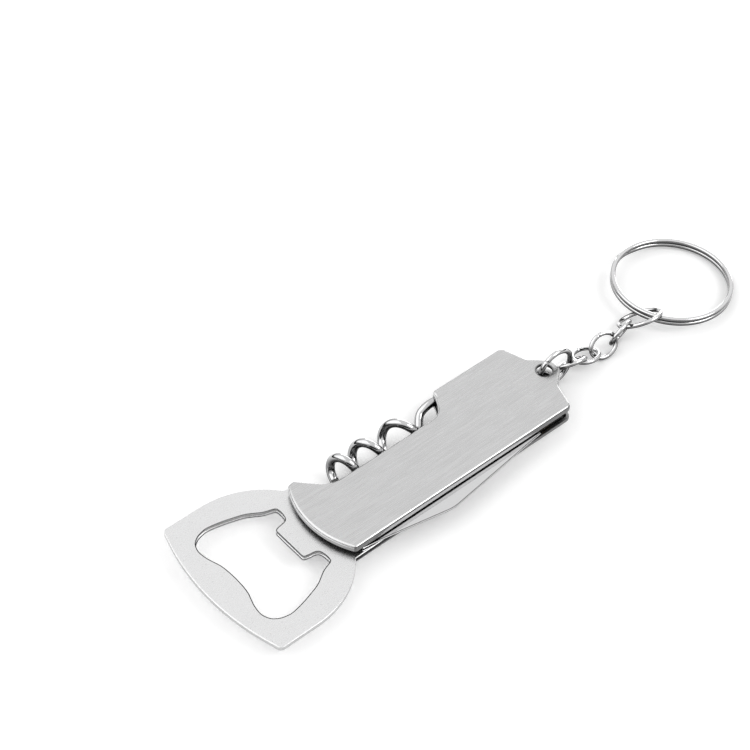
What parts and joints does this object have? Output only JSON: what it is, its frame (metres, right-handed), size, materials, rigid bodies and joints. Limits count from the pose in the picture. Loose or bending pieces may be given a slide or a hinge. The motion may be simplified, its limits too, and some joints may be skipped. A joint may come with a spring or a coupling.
{
  "type": "keychain bottle opener",
  "caption": "Pocket steel bottle opener with a folding knife blade and a folding corkscrew, hung from a short link chain on a split key ring.",
  "frame": {"origin": "middle of the flat back face of the bottom cover", "axes": "+X from the opener head towards the split ring, +Y to the corkscrew side, +Z out of the front cover"},
  "size_m": [0.1597, 0.0414, 0.0109],
  "materials": {
    "top_cover": "satin, grain along the length",
    "bottom_cover": "satin, grain along the length",
    "top_liner": "plain rolled strip",
    "bottom_liner": "plain rolled strip",
    "opener_plate": "fine satin",
    "root_spacer": "plain rolled strip",
    "back_spring": "tempered, satin",
    "knife_bush": "turned",
    "corkscrew_washer": "satin",
    "knife_pin": "peened wire",
    "corkscrew_pin": "peened wire",
    "head_rivet_near": "peened wire",
    "head_rivet_far": "peened wire",
    "spring_rivet_head_end": "peened wire",
    "spring_rivet_ring_end": "peened wire",
    "knife_blade": "polished",
    "corkscrew": "polished wire",
    "jump_ring": "bright plated",
    "chain_link_1": "bright plated",
    "chain_link_2": "bright plated",
    "chain_link_3": "bright plated",
    "chain_link_4": "bright plated",
    "chain_link_5": "bright plated",
    "split_ring": "bright plated"
  },
  "bodies": {
    "tool_body": {"top_cover": "top_cover", "bottom_cover": "bottom_cover", "top_liner": "top_liner", "bottom_liner": "bottom_liner", "opener_plate": "opener_plate", "root_spacer": "root_spacer", "back_spring": "back_spring", "knife_bush": "knife_bush", "corkscrew_washer": "corkscrew_washer", "knife_pin": "knife_pin", "corkscrew_pin": "corkscrew_pin", "head_rivet_near": "head_rivet_near", "head_rivet_far": "head_rivet_far", "spring_rivet_head_end": "spring_rivet_head_end", "spring_rivet_ring_end": "spring_rivet_ring_end"},
    "knife": {"knife_blade": "knife_blade"},
    "corkscrew": {"corkscrew": "corkscrew"},
    "jump_ring": {"jump_ring": "jump_ring"},
    "link_1": {"chain_link_1": "chain_link_1"},
    "link_2": {"chain_link_2": "chain_link_2"},
    "link_3": {"chain_link_3": "chain_link_3"},
    "link_4": {"chain_link_4": "chain_link_4"},
    "link_5": {"chain_link_5": "chain_link_5"},
    "split_ring": {"split_ring": "split_ring"}
  },
  "joints": [
    {"name": "knife_pivot", "type": "hinge", "parent": "tool_body", "child": "knife", "pos_m": [0.027, -0.0075, 0.0031], "axis": [0, 0, 1], "range_deg": [0, 165]},
    {"name": "corkscrew_pivot", "type": "hinge", "parent": "tool_body", "child": "corkscrew", "pos_m": [0.017, 0.0084, 0.00263], "axis": [0, 0, -1], "range_deg": [0, 90]},
    {"name": "jump_ring_swing", "type": "hinge", "parent": "tool_body", "child": "jump_ring", "pos_m": [0.035, 0, 0.0027], "axis": [0, 0, 1], "range_deg": [-25, 25]},
    {"name": "link_1_swing", "type": "hinge", "parent": "jump_ring", "child": "link_1", "pos_m": [0.04317, 0, 0.00268], "axis": [0.2334, 0, 0.9724], "range_deg": [-25, 25]},
    {"name": "link_2_swing", "type": "hinge", "parent": "link_1", "child": "link_2", "pos_m": [0.04647, 0.0016, -0.00035], "axis": [-0.7749, 0.5206, -0.3585], "range_deg": [-25, 0]},
    {"name": "link_3_swing", "type": "hinge", "parent": "link_2", "child": "link_3", "pos_m": [0.0518, -0.0013, 0.00046], "axis": [0.6403, 0.7315, -0.2342], "range_deg": [-25, 25]},
    {"name": "link_4_swing", "type": "hinge", "parent": "link_3", "child": "link_4", "pos_m": [0.05724, -0.00057, 0.00243], "axis": [-0.3401, 0.5836, 0.7374], "range_deg": [-25, 5]},
    {"name": "link_5_swing", "type": "hinge", "parent": "link_4", "child": "link_5", "pos_m": [0.06221, 0.00055, 0.00064], "axis": [-0.6541, 0.0975, -0.7501], "range_deg": [-25, 5]},
    {"name": "split_ring_swing", "type": "hinge", "parent": "link_5", "child": "split_ring", "pos_m": [0.0705, -0.00252, 0.00339], "axis": [0.4123, 0.7735, -0.4814], "range_deg": [0, 25]}
  ]
}
